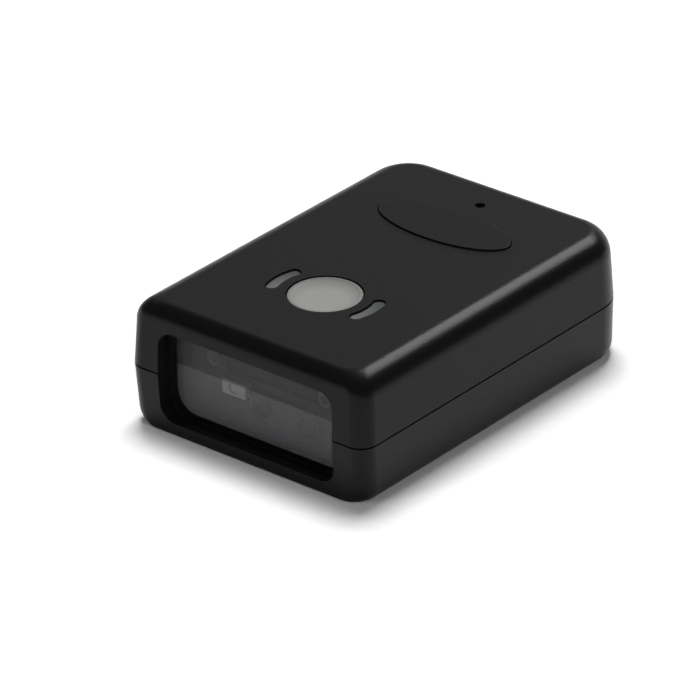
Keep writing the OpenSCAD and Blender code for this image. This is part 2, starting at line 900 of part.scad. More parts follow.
// The flat cable leaves the imager board level, bends up and enters the main board
module flat_cable() {
    color("#c08a3c")
        translate([-flex_w / 2, 0, 0])
            rotate([90, 0, 90])
                linear_extrude(flex_w) {
                    translate([imager_back + plug_l / 2, lens_z - flex_t / 2])
                        square([flex_turn_y - imager_back - plug_l / 2 + eps, flex_t]);
                    translate([flex_turn_y, lens_z + flex_bend])
                        intersection() {
                            difference() {
                                circle(flex_bend + flex_t / 2);
                                circle(flex_bend - flex_t / 2);
                            }
                            translate([0, -2 * flex_bend])
                                square([2 * flex_bend, 2 * flex_bend]);
                        }
                    translate([flex_up_y - flex_t / 2, lens_z + flex_bend - eps])
                        square([flex_t, board_z - root - lens_z - flex_bend]);
                }
}

module engine_plug() {
    color("#d8d3c4")
        difference() {
            block([-plug_w / 2, plug_w / 2], [imager_back, imager_back + plug_l],
                [lens_z - plug_h / 2, lens_z + plug_h / 2]);
            block([-flex_w / 2 - seat, flex_w / 2 + seat],
                [imager_back + plug_l / 2 - seat, imager_back + plug_l + 1],
                [lens_z - flex_t / 2 - seat, lens_z + flex_t / 2 + seat]);
        }
}

module imager_board() {
    color(board_green)
        block([-engine_w / 2, engine_w / 2], [imager_y, imager_back], [engine_z, engine_top]);
}

module image_sensor() {
    sensor_w = 5.6;
    sensor_h = 4.8;
    sensor_l = 1.1;
    sensor_rim = 0.9;
    sensor_dip = 0.3;
    color("#3a3f4a")
        translate([lens_x, imager_y - sensor_l, lens_z])
            difference() {
                block([-sensor_w / 2, sensor_w / 2], [0, sensor_l], [-sensor_h / 2, sensor_h / 2]);
                block([sensor_rim - sensor_w / 2, sensor_w / 2 - sensor_rim], [-1, sensor_dip],
                    [sensor_rim - sensor_h / 2, sensor_h / 2 - sensor_rim]);
            }
}

module engine_chassis() {
    shaft = 7;
    rim = 1.5;
    front_t = 2;
    lens_wall = 1;
    pocket_z = [engine_z + rim, engine_top - rim];
    pocket_y = [lamp_board_back + front_t, imager_y + 1];
    color("#303236")
        difference() {
            union() {
                block([-engine_w / 2, engine_w / 2], [lamp_board_back, imager_y], [engine_z, engine_top]);
                block([-ear_x - ear_w / 2, ear_x + ear_w / 2], [bracket_back, bracket_back + lug_l],
                    [lug_low, ear_top]);
            }
            block([-engine_w / 2 - 1, engine_w / 2 + 1], [bracket_back - 1, lamp_board_back],
                [engine_z, engine_top]);
            bar(lens_x, lens_z, bracket_back - 1, imager_y + 1, barrel_d + 2 * seat);
            block([lens_x - shaft / 2, lens_x + shaft / 2], [imager_y - shaft_l, imager_y + 1],
                [lens_z - shaft / 2, lens_z + shaft / 2]);
            block([rim - engine_w / 2, lens_x - shaft / 2 - lens_wall], pocket_y, pocket_z);
            block([lens_x + shaft / 2 + lens_wall, engine_w / 2 - rim], pocket_y, pocket_z);
            for (x = [-ear_x, ear_x])
                bar(x, ear_screw_z, bracket_back - 1, bracket_back + lug_l - lug_end, engine_screw_d + seat);
        }
}

module lens_barrel() {
    aperture = 1.1;
    back = imager_y - shaft_l;
    step_y = lamp_board_back + barrel_step;
    iris_y = lens_y + lens_edge + 0.7;
    iris_t = 0.4;
    flare = 0.8;
    color(deep_black)
        translate([lens_x, 0, lens_z])
            rotate([-90, 0, 0])
                rotate_extrude()
                    polygon([[barrel_bore, barrel_tip], [barrel_r - barrel_step, barrel_tip],
                        [barrel_r - barrel_step, step_y], [barrel_r, step_y],
                        [barrel_r, back], [barrel_bore, back],
                        [barrel_bore, iris_y + iris_t], [aperture, iris_y + iris_t],
                        [aperture, iris_y], [lens_bore, iris_y],
                        [lens_bore, lens_y], [barrel_bore, lens_y - flare]]);
}

// A lens with two bowed faces, held inside the front of the barrel
module camera_lens() {
    r = lens_bore - seat;
    rise = 0.45;
    steps = 6;
    bowed = [for (i = [0:steps]) [r * i / steps, rise * (1 - i * i / steps / steps)]];
    color([0.55, 0.6, 0.75, 0.6])
        translate([lens_x, 0, lens_z])
            rotate([-90, 0, 0])
                rotate_extrude()
                    polygon(concat([for (p = bowed) [p[0], lens_y - p[1]]],
                        [for (i = [steps:-1:0]) [bowed[i][0], lens_y + lens_edge + bowed[i][1]]]));
}

module lamp_board() {
    color(board_green)
        difference() {
            block([-engine_w / 2, engine_w / 2], [bracket_back, lamp_board_back], [engine_z, lug_low]);
            bar(lens_x, lens_z, bracket_back - 1, lamp_board_back + 1, barrel_d + 2 * seat);
        }
}

module flood_lamp() {
    flood_dip = 0.4;
    color("#f0ead0")
        difference() {
            block([-lamp_x - flood_w / 2, -lamp_x + flood_w / 2], [bracket_back - flood_l, bracket_back],
                [flood_z - flood_h / 2, flood_z + flood_h / 2]);
            bar(-lamp_x, flood_z, bracket_back - flood_l - 1, bracket_back - flood_l + flood_dip,
                flood_h * 0.8);
        }
}

module aiming_lamp() {
    r = aimer_d / 2;
    dome = 0.7;
    steps = 5;
    color("#7c2d2a")
        translate([lamp_x, bracket_back, lens_z])
            rotate([90, 0, 0])
                rotate_extrude()
                    polygon(concat([[0, 0]], [for (i = [0:steps])
                        let (a = 90 * i / steps) [r * cos(a), aimer_l - dome + dome * sin(a)]]));
}

module engine_bracket() {
    notch_gap = 0.3;
    color("#4a4c50")
        difference() {
            union() {
                upright(bracket_y, bracket_t)
                    translate([0, (bracket_low + bracket_top) / 2])
                        rounded_rect(2 * bracket_hw, bracket_top - bracket_low, 1);
                for (x = [-ear_x, ear_x])
                    block([x - ear_w / 2, x + ear_w / 2], [bracket_y, bracket_back],
                        [bracket_top - 1, ear_top]);
                for (side = [0, 1])
                    mirror([side, 0, 0])
                        bracket_tab();
            }
            bar(lens_x, lens_z, bracket_y - 1, bracket_back + 1, barrel_d + 2 * seat);
            bar(lamp_x, lens_z, bracket_y - 1, bracket_back + 1, aimer_d + 2 * notch_gap);
            block([-lamp_x - flood_w / 2 - notch_gap, -lamp_x + flood_w / 2 + notch_gap],
                [bracket_y - 1, bracket_back + 1], [flood_z - flood_h / 2 - notch_gap, bracket_top + 1]);
            for (x = [-ear_x, ear_x])
                bar(x, ear_screw_z, bracket_y - 1, bracket_back + 1, engine_screw_d + screw_gap);
            for (x = [-tab_x, tab_x])
                rod(x, tab_screw_y, tab_z - 1, tab_z + bracket_t + 1, tab_screw_d + screw_gap);
        }
}

// A tab that runs back between the engine and a screw post to its own boss
module bracket_tab() {
    pad_front = tab_screw_y - tab_pad_w / 2;
    block([tab_in, tab_out], [bracket_y, tab_screw_y], [tab_z, tab_z + bracket_t]);
    block([tab_in, tab_in + tab_pad_w], [pad_front, pad_front + tab_pad_w], [tab_z, tab_z + bracket_t]);
}

module engine_screws() {
    color(gold)
        for (x = [-ear_x, ear_x])
            translate([x, bracket_y, ear_screw_z])
                rotate([-90, 0, 0])
                    screw_up(0, bracket_t + lug_l - lug_end - root, engine_screw_d, engine_head_d,
                        engine_head_h);
}

module bracket_screws() {
    color(steel)
        for (x = [-tab_x, tab_x])
            translate([x, tab_screw_y, tab_z + bracket_t])
                rotate([180, 0, 0])
                    screw_up(0, bracket_t + tab_screw_l - root, tab_screw_d, tab_head_d, tab_head_h);
}

module jack_housing() {
    slot_x = [-wire_t / 2 - wire_gap, wire_t / 2 + wire_gap];
    color(deep_black)
        difference() {
            block([-jack_w / 2, jack_w / 2], [jack_back, jack_face], [jack_z, board_z]);
            block([-mouth_w / 2, mouth_w / 2], [jack_face - mouth_l, jack_face + 1], [mouth_z, mouth_top]);
            block([-key_slot_w / 2, key_slot_w / 2], [jack_face - mouth_l, jack_face + 1],
                [mouth_z - key_slot_h, mouth_z + 1]);
            for (i = [0:contact_count - 1])
                translate([(i - (contact_count - 1) / 2) * contact_pitch, 0, 0]) {
                    block(slot_x, [wire_rear, jack_face - jack_box_l], [mouth_top - 1, board_z - jack_roof]);
                    block(slot_x, [wire_rear, wire_rear + wire_t], [mouth_top, board_z + 1]);
                }
        }
}

// Spring wires that slope down from the top of the mouth
module jack_contacts() {
    front = jack_face - jack_box_l - root;
    rear = wire_rear;
    top = mouth_top + wire_rise;
    tip = rear + wire_run;
    low = mouth_top - wire_drop;
    slope = (top - low) / (front - tip);
    color(gold)
        for (i = [0:contact_count - 1])
            translate([(i - (contact_count - 1) / 2) * contact_pitch - wire_t / 2, 0, 0])
                rotate([90, 0, 90])
                    linear_extrude(wire_t)
                        polygon([[rear, top], [rear, board_z], [rear + wire_t, board_z],
                            [rear + wire_t, top + wire_t], [front, top + wire_t], [front, top],
                            [tip, low], [tip, low + wire_t], [front - wire_t / slope, top]]);
}

top_cover();
bottom_cover();
scan_window();
window_gasket();
push_key();
light_guide_left();
light_guide_right();
oval_badge();
housing_screws();
mounting_inserts();
main_board();
key_switch();
switch_plunger();
status_lamp_left();
status_lamp_right();
buzzer();
beeper_mesh();
decoder_chip();
memory_chip();
clock_crystal();
board_capacitors();
board_socket();
flat_cable();
engine_plug();
imager_board();
image_sensor();
engine_chassis();
lens_barrel();
camera_lens();
lamp_board();
flood_lamp();
aiming_lamp();
engine_bracket();
engine_screws();
bracket_screws();
jack_housing();
jack_contacts();
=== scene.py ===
import json
import math
import bmesh
import bpy
from mathutils import Matrix, Vector

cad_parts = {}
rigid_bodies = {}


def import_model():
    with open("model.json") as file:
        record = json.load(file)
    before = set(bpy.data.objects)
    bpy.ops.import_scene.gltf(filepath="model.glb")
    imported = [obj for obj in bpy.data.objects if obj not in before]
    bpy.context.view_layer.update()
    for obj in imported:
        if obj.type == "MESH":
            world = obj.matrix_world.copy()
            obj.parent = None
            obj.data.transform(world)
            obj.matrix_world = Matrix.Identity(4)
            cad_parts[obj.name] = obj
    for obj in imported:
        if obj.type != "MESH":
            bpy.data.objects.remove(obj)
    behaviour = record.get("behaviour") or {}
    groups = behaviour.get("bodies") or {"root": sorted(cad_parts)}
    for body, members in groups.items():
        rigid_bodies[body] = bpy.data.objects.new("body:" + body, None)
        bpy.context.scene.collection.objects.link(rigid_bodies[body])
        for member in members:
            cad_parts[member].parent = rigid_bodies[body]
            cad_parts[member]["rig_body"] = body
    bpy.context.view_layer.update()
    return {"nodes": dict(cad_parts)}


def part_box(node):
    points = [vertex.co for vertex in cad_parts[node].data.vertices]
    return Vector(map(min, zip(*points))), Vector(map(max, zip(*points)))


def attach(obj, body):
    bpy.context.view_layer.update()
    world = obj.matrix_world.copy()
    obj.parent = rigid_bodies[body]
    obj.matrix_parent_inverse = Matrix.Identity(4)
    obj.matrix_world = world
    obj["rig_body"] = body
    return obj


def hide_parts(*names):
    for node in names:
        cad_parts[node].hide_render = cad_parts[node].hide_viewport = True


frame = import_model()
nodes = frame["nodes"]
scene = bpy.context.scene
scene.view_settings.view_transform = "Standard"
mm = 0.001  # sizes and places are in mm, and are turned into metres with this
print("frame loaded")

# angles in degrees; right and up slide the camera across its own view
shot = {"azimuth": 39.77, "elevation": 27.92, "roll": -0.92, "distance": 956.83, "aim": (0, -0.6, 12),
        "right": 5.05, "up": 4.73, "lens": 298.32, "sensor": 36, "nearest": 20}


def makeCamera():
    az, el, roll = (math.radians(shot[key]) for key in ("azimuth", "elevation", "roll"))
    back = Vector((math.sin(az) * math.cos(el), -math.cos(az) * math.cos(el), math.sin(el)))
    right = Vector((math.cos(az), math.sin(az), 0))
    up = back.cross(right)
    turnedRight = math.cos(roll) * right + math.sin(roll) * up
    turnedUp = math.cos(roll) * up - math.sin(roll) * right
    slide = shot["right"] * turnedRight + shot["up"] * turnedUp
    place = Vector(shot["aim"]) + shot["distance"] * back - slide
    camera = bpy.data.objects.new("camera", bpy.data.cameras.new("camera"))
    scene.collection.objects.link(camera)
    turn = Matrix((turnedRight, turnedUp, back)).transposed().to_4x4()
    camera.matrix_world = Matrix.Translation(place * mm) @ turn
    camera.data.lens = shot["lens"]
    camera.data.sensor_width = shot["sensor"]
    camera.data.clip_start = shot["nearest"] * mm
    scene.camera = camera


# world is how bright the surroundings are; floorShown is the floor's colour where it is seen
studio = {"world": 0.05, "floorColour": 0.85, "floorShown": 1.32, "floorSize": 6000}
lamps = [  # the first three are seen in reflections, the others light surfaces
    {"name": "behind", "at": (-50, 820, 860), "size": (620, 330), "watts": 7.5, "mirrored": True},
    {"name": "backLeft", "at": (-900, 1100, 900), "size": (1400, 900), "watts": 1.25, "mirrored": True},
    {"name": "lowBehind", "at": (-600, 1350, 230), "size": (1700, 320), "watts": 1.6, "mirrored": True},
    {"name": "overhead", "at": (-190, 280, 1300), "size": (520, 480), "watts": 12.8, "mirrored": False},
    {"name": "frontFill", "at": (-450, -1236, 440), "size": (300, 300), "watts": 2.6, "mirrored": False},
    {"name": "rightFill", "at": (1100, -200, 350), "size": (300, 300), "watts": 3.5, "mirrored": False},
    {"name": "leftFill", "at": (-1150, 250, 420), "size": (300, 300), "watts": 1, "mirrored": False},
]


def makeWorld():
    world = bpy.data.worlds.new("world")
    scene.world = world
    world.use_nodes = True
    sky = world.node_tree.nodes["Background"]
    sky.inputs["Color"].default_value = (1, 1, 1, 1)
    sky.inputs["Strength"].default_value = studio["world"]


def makeLamp(lamp):
    data = bpy.data.lights.new(lamp["name"], "AREA")
    data.shape = "RECTANGLE"
    data.size, data.size_y = (side * mm for side in lamp["size"])
    data.energy = lamp["watts"]
    light = bpy.data.objects.new(lamp["name"], data)
    scene.collection.objects.link(light)
    place = Vector(lamp["at"]) * mm
    light.location = place
    light.rotation_euler = place.to_track_quat("Z", "Y").to_euler()
    light.visible_diffuse = not lamp["mirrored"]
    light.visible_glossy = lamp["mirrored"]


def makeFloorMaterial():
    material = bpy.data.materials.new("studioFloor")
    material.use_nodes = True
    tree = material.node_tree
    tree.nodes.clear()
    out = tree.nodes.new("ShaderNodeOutputMaterial")
    matte = tree.nodes.new("ShaderNodeBsdfDiffuse")
    path = tree.nodes.new("ShaderNodeLightPath")
    shade = tree.nodes.new("ShaderNodeMapRange")
    shade.inputs["To Min"].default_value = studio["floorColour"]
    shade.inputs["To Max"].default_value = studio["floorShown"]
    seen = path.outputs["Is Camera Ray"]
    for ray in ("Is Glossy Ray", "Is Transmission Ray"):
        either = tree.nodes.new("ShaderNodeMath")
        either.operation = "MAXIMUM"
        tree.links.new(seen, either.inputs[0])
        tree.links.new(path.outputs[ray], either.inputs[1])
        seen = either.outputs[0]
    tree.links.new(seen, shade.inputs["Value"])
    tree.links.new(shade.outputs["Result"], matte.inputs["Color"])
    tree.links.new(matte.outputs[0], out.inputs["Surface"])
    return material


def makeFloor():
    mesh = bpy.data.meshes.new("floor")
    bm = bmesh.new()
    bmesh.ops.create_grid(bm, x_segments=1, y_segments=1, size=studio["floorSize"] / 2 * mm)
    bm.to_mesh(mesh)
    bm.free()
    mesh.materials.append(makeFloorMaterial())
    floor = bpy.data.objects.new("floor", mesh)
    scene.collection.objects.link(floor)


makeCamera()
makeWorld()
for lamp in lamps:
    makeLamp(lamp)
makeFloor()
print("studio ready")

# the two covers; the drafts and rounded edges of their walls come after
shell = {"width": 50, "length": 71.2, "height": 22.9, "parting": 10.9, "wall": 2, "frontWall": 2.9,
         "floor": 1.6, "roof": 1.8, "frontCorner": 3.1, "backCorner": 8.4, "leastCorner": 0.4,
         "innerEdge": 0.5, "groove": 0.15, "grooveDepth": 0.3, "tongueHeight": 1.2, "tongue": 0.9,
         "tongueGap": 0.1, "cornerSteps": 14, "edgeSteps": 12}
walls = {  # draft in degrees, and the radius of the rounded edge, each below and above the parting line
    "side": {"draft": (1.9, 3), "edges": (2.8, 3.9)},
    "front": {"draft": (3.7, 3), "edges": (0.4, 2.5)},
    "back": {"draft": (0.7, 6.5), "edges": (2.5, 2.6)},
}
frontY, backY = -shell["length"] / 2, shell["length"] / 2
roofUnder = shell["height"] - shell["roof"]
baseEdge, crownEdge = walls["side"]["edges"]
# the covers, the guides and two finishes go by the key's place and sizes
pushKey = {"y": frontY + 20.9, "diameter": 12.5, "gap": 0.2, "sink": 0.1, "dish": 0.4, "rim": 0.55,
           "edge": 0.2, "play": 0.05, "flange": 0.7, "flangeLap": 1.2, "stem": 4.4, "stemLength": 0.5,
           "lugWidth": 2, "lugLength": 1.2, "ribThick": 1, "ribHeight": 1.2,
           "edgeSteps": 5, "dishSteps": 14, "turnSteps": 96}
near = 0.05  # a point this close to a face counts as on it
same = 0.0001  # points this close together become one
cornerAngle = 60  # degrees; the steps of a curve turn by less
root, fit, past = 0.3, 0.02, 1  # how far a form reaches into its wall, a press fit, a cut past a face

# grain is (cells per mm, depth); a fade is painted shade, which blends into a darker second colour
# between two distances from a point, measured from the middle of the key at the level of the top face
finishes = {
    "grainBlack": {"colour": (0.0060, 0.0060, 0.0064), "rough": 0.29, "grain": (3.0, 0.028), "gloss": 0.132},
    "satinBlack": {"colour": (0.0060, 0.0060, 0.0064), "rough": 0.28, "grain": (6.0, 0.004), "gloss": 0.132},
    # painted light: the lower part of the pane's front takes a lighter copy of this window finish than the
    # upper part
    "clearWindow": {"colour": (0.102, 0.102, 0.105), "rough": 0.06, "alpha": 0.75, "gloss": 0.06},
    "panePaintedLighter": {"colour": (0.248, 0.248, 0.260), "rough": 0.12, "alpha": 0.55, "gloss": 0.06},
    "innerFace": {"colour": (0.010, 0.010, 0.011), "rough": 0.06, "alpha": 0.08},
    "printedBorder": {"colour": (0.006, 0.006, 0.006), "rough": 0.5},
    "blackFoam": {"colour": (0.006, 0.006, 0.006), "rough": 0.9, "grain": (4, 0.03), "gloss": 0.2},
    # painted shade: the key darkens towards its rim, most at the back and left, away from a point near its
    # middle
    "greyKey": {"colour": (0.34, 0.34, 0.325), "rough": 0.45, "gloss": 0.25, "grain": (4, 0.002),
                "fade": {"point": (0.8, -1.2, -0.4), "reach": (3.8, 8.4), "colour": (0.16, 0.16, 0.155)}},
    # painted shade: the guides darken towards their back ends, as if their slots shade them
    "frostedGuide": {"colour": (0.175, 0.177, 0.177), "rough": 0.40, "gloss": 0.25, "grain": (3, 0.004),
                     "fade": {"point": (0, -7.8, -0.4), "reach": (9.5, 14), "colour": (0.070, 0.078, 0.075)}},
    "greenBoard": {"colour": (0.010, 0.060, 0.030), "rough": 0.35},
    "greyBoard": {"colour": (0.14, 0.14, 0.14), "rough": 0.35},
    "blackResin": {"colour": (0.010, 0.010, 0.011), "rough": 0.45, "grain": (5, 0.003)},
    "darkPlastic": {"colour": (0.06, 0.06, 0.062), "rough": 0.55},
    "brightSteel": {"colour": (0.56, 0.57, 0.58), "rough": 0.28, "metal": 1, "grain": (2, 0.002)},
    "brass": {"colour": (0.62, 0.42, 0.14), "rough": 0.25, "metal": 1, "grain": (2, 0.002)},
    "paleBrass": {"colour": (0.52, 0.48, 0.33), "rough": 0.30},
    "lampPackage": {"colour": (0.95, 0.94, 0.89), "rough": 0.30},
    "redLens": {"colour": (0.10, 0.012, 0.010), "rough": 0.12},
    "coatedGlass": {"colour": (0.05, 0.06, 0.12), "rough": 0.04, "ior": 1.7},
    "ivoryPlastic": {"colour": (0.60, 0.54, 0.42), "rough": 0.35},
    "amberFilm": {"colour": (0.42, 0.16, 0.03), "rough": 0.25},
    "brownCeramic": {"colour": (0.30, 0.17, 0.08), "rough": 0.4},
    "darkMesh": {"colour": (0.10, 0.10, 0.10), "rough": 0.4, "metal": 1, "grain": (6, 0.05)},
}
usual = {"metal": 0, "ior": 1.5, "gloss": 0.5, "alpha": 1}  # for a finish that doesn't name them
sockets = {"rough": "Roughness", "metal": "Metallic", "ior": "IOR", "gloss": "Specular IOR Level",
           "alpha": "Alpha"}
grainDetail = 2
materials = {}


# paints shade: the colour turns darker with distance from a point, in place of shade the lamps don't cast
def addPaintedShade(tree, shader, colour, fade):
    where = tree.nodes.new("ShaderNodeTexCoord")
    away = tree.nodes.new("ShaderNodeVectorMath")
    amount = tree.nodes.new("ShaderNodeMapRange")
    blend = tree.nodes.new("ShaderNodeMix")
    away.operation = "DISTANCE"
    point = Vector((0, pushKey["y"], shell["height"])) + Vector(fade["point"])
    away.inputs[1].default_value = point * mm
    for socket, distance in zip(("From Min", "From Max"), fade["reach"]):
        amount.inputs[socket].default_value = distance * mm
    blend.data_type = "RGBA"
    blend.inputs["A"].default_value = (*colour, 1)
    blend.inputs["B"].default_value = (*fade["colour"], 1)
    tree.links.new(where.outputs["Object"], away.inputs[0])
    tree.links.new(away.outputs["Value"], amount.inputs["Value"])
    tree.links.new(amount.outputs["Result"], blend.inputs["Factor"])
    tree.links.new(blend.outputs["Result"], shader.inputs["Base Color"])


def addGrain(tree, shader, cells, depth):
    where = tree.nodes.new("ShaderNodeTexCoord")
    grain = tree.nodes.new("ShaderNodeTexNoise")
    bump = tree.nodes.new("ShaderNodeBump")
    grain.inputs["Scale"].default_value = cells / mm
    grain.inputs["Detail"].default_value = grainDetail
    bump.inputs["Strength"].default_value = 1
    bump.inputs["Distance"].default_value = depth * mm
    tree.links.new(where.outputs["Object"], grain.inputs["Vector"])
    tree.links.new(grain.outputs["Fac"], bump.inputs["Height"])
    tree.links.new(bump.outputs["Normal"], shader.inputs["Normal"])


def makeFinish(name, look):
    material = bpy.data.materials.new(name)
    material.use_nodes = True
    tree = material.node_tree
    shader = tree.nodes["Principled BSDF"]
    shader.inputs["Base Color"].default_value = (*look["colour"], 1)
    for key, socket in sockets.items():
        shader.inputs[socket].default_value = look.get(key, usual.get(key))
    # painted shade: darker away from a point
    if "fade" in look:
        addPaintedShade(tree, shader, look["colour"], look["fade"])
    if "grain" in look:
        addGrain(tree, shader, *look["grain"])
    materials[name] = material


for finishName, finishLook in finishes.items():
    makeFinish(finishName, finishLook)
print("finishes ready")


def toObject(name, bm):
    mesh = bpy.data.meshes.new(name)
    bm.to_mesh(mesh)
    bm.free()
    piece = bpy.data.objects.new(name, mesh)
    scene.collection.objects.link(piece)
    return piece


def applyAll(piece):
    graph = bpy.context.evaluated_depsgraph_get()
    shaped = bpy.data.meshes.new_from_object(piece.evaluated_get(graph))
    piece.modifiers.clear()
    old = piece.data
    piece.data = shaped
    bpy.data.meshes.remove(old)


def combine(piece, tool, how):
    boolean = piece.modifiers.new(how.lower(), "BOOLEAN")
    boolean.operation = how
    boolean.solver = "EXACT"
    boolean.object = tool
    applyAll(piece)
    bpy.data.objects.remove(tool)


def add(piece, tool):
    combine(piece, tool, "UNION")


def cut(piece, tool):
    combine(piece, tool, "DIFFERENCE")


def smoothShade(piece, angle=32):
    piece.data.shade_smooth()
    piece.data.set_sharp_from_angle(angle=math.radians(angle))
    even = piece.modifiers.new("evenNormals", "WEIGHTED_NORMAL")
    even.keep_sharp = True


def finishPiece(piece, finish, body="housing", stands=()):
    piece.data.materials.clear()
    piece.data.materials.append(materials[finish])
    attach(piece, body)
    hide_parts(*stands)


def meetsAt(edge, angle):  # whether its two faces meet at more than this many degrees
    return edge.calc_face_angle(0) > math.radians(angle)


def roundOff(bm, edges, radius, segments):
    bmesh.ops.bevel(bm, geom=edges, offset=radius * mm, segments=segments, affect="EDGES",
                    profile=0.5, material=-1)


def softenRims(piece, widthOf, segments=3, angle=30):  # widthOf gives a width for an edge's two ends
    mesh = piece.data
    bm = bmesh.new()
    bm.from_mesh(mesh)
    layers = bm.edges.layers.float
    weight = layers.get("bevel_weight_edge") or layers.new("bevel_weight_edge")
    picked = {edge: widthOf(*(vert.co / mm for vert in edge.verts))
              for edge in bm.edges if meetsAt(edge, angle)}
    widest = max(picked.values())
    for edge, width in picked.items():
        edge[weight] = width / widest
    bm.to_mesh(mesh)
    bm.free()
    bevel = piece.modifiers.new("rims", "BEVEL")
    bevel.limit_method = "WEIGHT"
    bevel.width = widest * mm
    bevel.segments = segments
    applyAll(piece)


def block(xs, ys, zs):
    bm = bmesh.new()
    low, high = (Vector(corner) * mm for corner in zip(xs, ys, zs))
    bmesh.ops.create_cube(bm, size=1)
    bmesh.ops.scale(bm, vec=high - low, verts=bm.verts)
    bmesh.ops.translate(bm, vec=(low + high) / 2, verts=bm.verts)
    return bm


def blockTool(xs, ys, zs):
    return toObject("tool", block(xs, ys, zs))


def rodTool(x, y, low, high, diameter, segments=48):
    bm = bmesh.new()
    radius = diameter / 2 * mm
    bmesh.ops.create_cone(bm, cap_ends=True, segments=segments, radius1=radius, radius2=radius,
                          depth=(high - low) * mm)
    bmesh.ops.translate(bm, vec=Vector((x, y, (low + high) / 2)) * mm, verts=bm.verts)
    return toObject("tool", bm)


def spots(part):  # the places of a part that stands on both sides of the middle
    return [(x, y) for x in (-part["x"], part["x"]) for y in part["ys"]]


def nodeBox(name):  # the lowest and highest corner of a CAD node
    return [Vector(corner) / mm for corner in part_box(name)]


boardUnder, boardTop = (corner.z for corner in nodeBox("main_board"))
paneLow, paneHigh = nodeBox("scan_window")


def bow(away, radius):  # how far a rounded edge pulls in
    return 0 if away >= radius else radius - math.sqrt(radius ** 2 - (radius - away) ** 2)


def standIn(z, wall, lowRadius, topRadius, floor=0, roof=0):  # how far a wall stands in at a height
    below, above = (math.tan(math.radians(draft)) for draft in wall["draft"])
    if z < shell["parting"]:
        return (shell["parting"] - z) * below + bow(z - floor, lowRadius)
    return (z - shell["parting"]) * above + bow(shell["height"] - roof - z, topRadius)


def inside(radius):  # the radius of the inner face of a rounded wall
    return max(radius - shell["wall"], shell["innerEdge"])


# a ring is (height, how far the sides, the front and the back stand in, radius of the front corners)
def outerRing(z, extra=0):
    return z, *(standIn(z, wall, *wall["edges"]) + extra for wall in walls.values()), shell["frontCorner"]


def innerRing(z):
    side, back = (shell["wall"] + standIn(z, walls[name], *(inside(edge) for edge in walls[name]["edges"]),
                                          shell["floor"], shell["roof"]) for name in ("side", "back"))
    return z, side, shell["frontWall"], back, inside(shell["frontCorner"])


def tongueRing(z, inset):
    radius = max(shell["frontCorner"] - inset, shell["leastCorner"])
    return z, inset, shell["frontWall"] - shell["wall"] + inset, inset, radius


def planPoint(index, sideIn, frontIn, backIn, frontRadius):
    corner, step = divmod(index, shell["cornerSteps"] + 1)
    x = shell["width"] / 2 - sideIn
    backRadius = max(shell["backCorner"] - max(sideIn, backIn), shell["leastCorner"])
    low, high = frontY + frontIn, backY - backIn
    centreX, centreY, radius = ((x - frontRadius, low + frontRadius, frontRadius),
                                (x - backRadius, high - backRadius, backRadius),
                                (backRadius - x, high - backRadius, backRadius),
                                (frontRadius - x, low + frontRadius, frontRadius))[corner]
    turn = math.radians(90 * (corner - 1) + 90 * step / shell["cornerSteps"])
    return centreX + radius * math.cos(turn), centreY + radius * math.sin(turn)


def climb(radius):  # the heights of the rings up a rounded edge
    steps = shell["edgeSteps"]
    return [radius * (1 - math.cos(math.pi / 2 * i / steps)) for i in range(steps + 1)]


def loft(rings):  # a closed form through rings
    bm = bmesh.new()
    order = bm.verts.layers.int.new("order")
    verts = bmesh.ops.create_circle(bm, segments=4 * (shell["cornerSteps"] + 1), radius=1)["verts"]
    for index, vert in enumerate(verts):
        vert[order] = index
    edges = bm.edges[:]
    for number, (z, *plan) in enumerate(rings):
        if number:
            grown = bmesh.ops.extrude_edge_only(bm, edges=edges)["geom"]
            verts = [g for g in grown if isinstance(g, bmesh.types.BMVert)]
            fresh = set(verts)
            edges = [g for g in grown if isinstance(g, bmesh.types.BMEdge) and fresh.issuperset(g.verts)]
        for vert in verts:
            vert.co = Vector((*planPoint(vert[order], *plan), z)) * mm
    bmesh.ops.holes_fill(bm, edges=[e for e in bm.edges if e.is_boundary], sides=0)
    bmesh.ops.recalc_face_normals(bm, faces=bm.faces)
    bm.verts.layers.int.remove(order)
    return toObject("tool", bm)


opening = {"side": 6.65, "sill": 2.4, "lintel": 4.1, "corner": 3, "steps": 10}
windowHalf = shell["width"] / 2 - opening["side"]
windowTop = shell["height"] - opening["lintel"]


def lengthwise(bm):  # the edges that run from front to back
    return [e for e in bm.edges if abs(e.verts[0].co.y - e.verts[1].co.y) > near * mm]


def windowTool():
    bm = block((-windowHalf, windowHalf), (frontY - past, frontY + shell["frontWall"] + past),
               (opening["sill"], windowTop))
    roundOff(bm, lengthwise(bm), opening["corner"], opening["steps"])
    return toObject("tool", bm)


jack = {"width": 15.4, "low": 3.05, "gap": 0.15}


def jackTool():
    half = jack["width"] / 2 + jack["gap"]
    return blockTool((-half, half), (backY - shell["wall"] - 2 * past, backY + past),
                     (jack["low"] - jack["gap"], boardUnder + jack["gap"]))


# inner and outer are radii round the middle of the key, and angle is in degrees
slots = {"inner": 8.2, "outer": 10.5, "angle": 50, "gap": 0.1, "sink": 0.3, "end": 1.05, "endSteps": 8,
         "crown": 0.25, "crownSteps": 5, "barSteps": 6, "flange": 0.8, "flangeAir": 0.35,
         "flangeLap": 0.7, "endLap": 0.85, "flangeSteps": 24}


